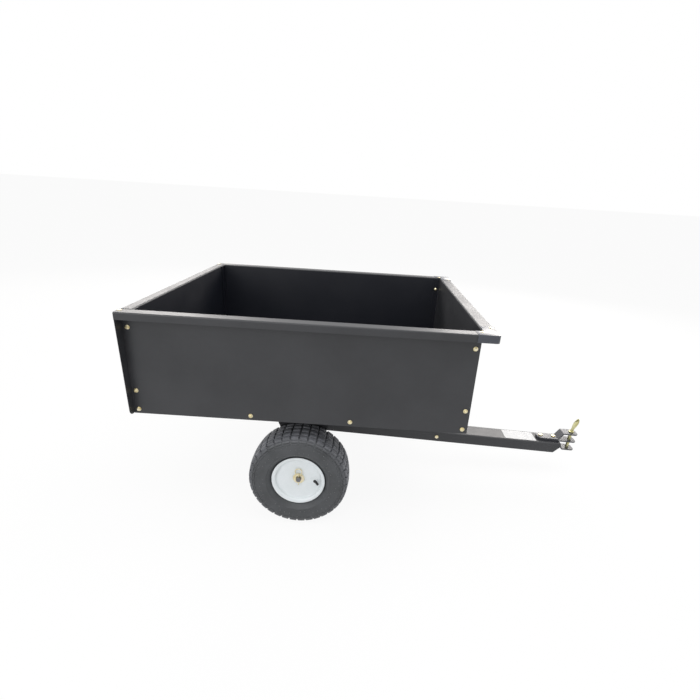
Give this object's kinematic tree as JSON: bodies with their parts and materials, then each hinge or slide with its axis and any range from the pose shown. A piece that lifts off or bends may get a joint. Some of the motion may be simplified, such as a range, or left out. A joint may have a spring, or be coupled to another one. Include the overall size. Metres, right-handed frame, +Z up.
{
  "type": "tow behind dump cart",
  "caption": "Tow behind steel dump cart: open box bed with lift out tailgate, tipping on the axle of a two wheel channel tongue chassis with a pinned clevis hitch and a dump latch",
  "frame": {"origin": "centre of the bounding box on the ground under the tyres", "axes": "+X forward from the tailgate to the hitch, +Y to the cart's left, +Z up"},
  "size_m": [1.5902, 0.9316, 0.7074],
  "materials": {
    "powder_coat": "dark charcoal powder coat with a fine texture, half matt",
    "yellow_zinc": "yellow zinc plated fasteners, slightly dull",
    "bright_steel": "bright drawn steel bar",
    "white_paint": "cool white glossy enamel on pressed steel",
    "tyre": "dark grey moulded rubber with knobby tread",
    "rubber": "black moulded rubber"
  },
  "bodies": {
    "chassis": {"tongue": "powder_coat", "axle": "bright_steel", "hitch_strap_upper": "powder_coat", "hitch_strap_middle": "powder_coat", "hitch_strap_lower": "powder_coat", "hitch_bolt_rear": "yellow_zinc", "hitch_bolt_front": "yellow_zinc", "washer_inner_right": "yellow_zinc", "washer_inner_left": "yellow_zinc", "washer_outer_right": "yellow_zinc", "washer_outer_left": "yellow_zinc", "ring_cotter_right": "yellow_zinc", "ring_cotter_left": "yellow_zinc", "latch_pivot_bolt": "yellow_zinc", "latch_spring": "yellow_zinc"},
    "bed": {"floor_tray": "powder_coat", "front_panel": "powder_coat", "side_panel_right": "powder_coat", "side_panel_left": "powder_coat", "tailgate_track_right": "powder_coat", "tailgate_track_left": "powder_coat", "corner_cap_right": "powder_coat", "corner_cap_left": "powder_coat", "axle_bracket_right": "powder_coat", "axle_bracket_left": "powder_coat", "bed_rest_bracket": "powder_coat", "striker_pin": "yellow_zinc", "side_bolt_right_1": "yellow_zinc", "side_bolt_right_2": "yellow_zinc", "side_bolt_right_3": "yellow_zinc", "side_bolt_right_4": "yellow_zinc", "side_bolt_right_5": "yellow_zinc", "side_bolt_right_6": "yellow_zinc", "side_bolt_right_7": "yellow_zinc", "side_bolt_right_8": "yellow_zinc", "side_bolt_left_1": "yellow_zinc", "side_bolt_left_2": "yellow_zinc", "side_bolt_left_3": "yellow_zinc", "side_bolt_left_4": "yellow_zinc", "side_bolt_left_5": "yellow_zinc", "side_bolt_left_6": "yellow_zinc", "side_bolt_left_7": "yellow_zinc", "side_bolt_left_8": "yellow_zinc"},
    "tailgate": {"tailgate": "powder_coat"},
    "wheel_right": {"tyre_right": "tyre", "rim_right": "white_paint", "hub_right": "white_paint", "bearing_outer_right": "yellow_zinc", "bearing_inner_right": "yellow_zinc", "valve_stem_right": "rubber"},
    "wheel_left": {"tyre_left": "tyre", "rim_left": "white_paint", "hub_left": "white_paint", "bearing_outer_left": "yellow_zinc", "bearing_inner_left": "yellow_zinc", "valve_stem_left": "rubber"},
    "latch": {"latch_lever": "powder_coat"},
    "hitch_pin": {"hitch_pin": "yellow_zinc"}
  },
  "joints": [
    {"name": "bed_tilt", "type": "hinge", "parent": "chassis", "child": "bed", "pos_m": [-0.28838, 0, 0.165], "axis": [0, -1, 0], "range_deg": [0, 38]},
    {"name": "tailgate_lift", "type": "slide", "parent": "bed", "child": "tailgate", "axis": [0, 0, 1], "range_m": [0, 0.33]},
    {"name": "wheel_spin_right", "type": "hinge", "parent": "chassis", "child": "wheel_right", "pos_m": [-0.28838, -0.3765, 0.165], "axis": [0, 1, 0], "continuous": true},
    {"name": "wheel_spin_left", "type": "hinge", "parent": "chassis", "child": "wheel_left", "pos_m": [-0.28838, 0.3765, 0.165], "axis": [0, 1, 0], "continuous": true},
    {"name": "latch_pivot", "type": "hinge", "parent": "chassis", "child": "latch", "pos_m": [0.21785, 0, 0.14555], "axis": [0, 1, 0], "range_deg": [-8, 12]},
    {"name": "hitch_pin_lift", "type": "slide", "parent": "chassis", "child": "hitch_pin", "axis": [0.0384, 0, 0.9993], "range_m": [0, 0.1]}
  ]
}
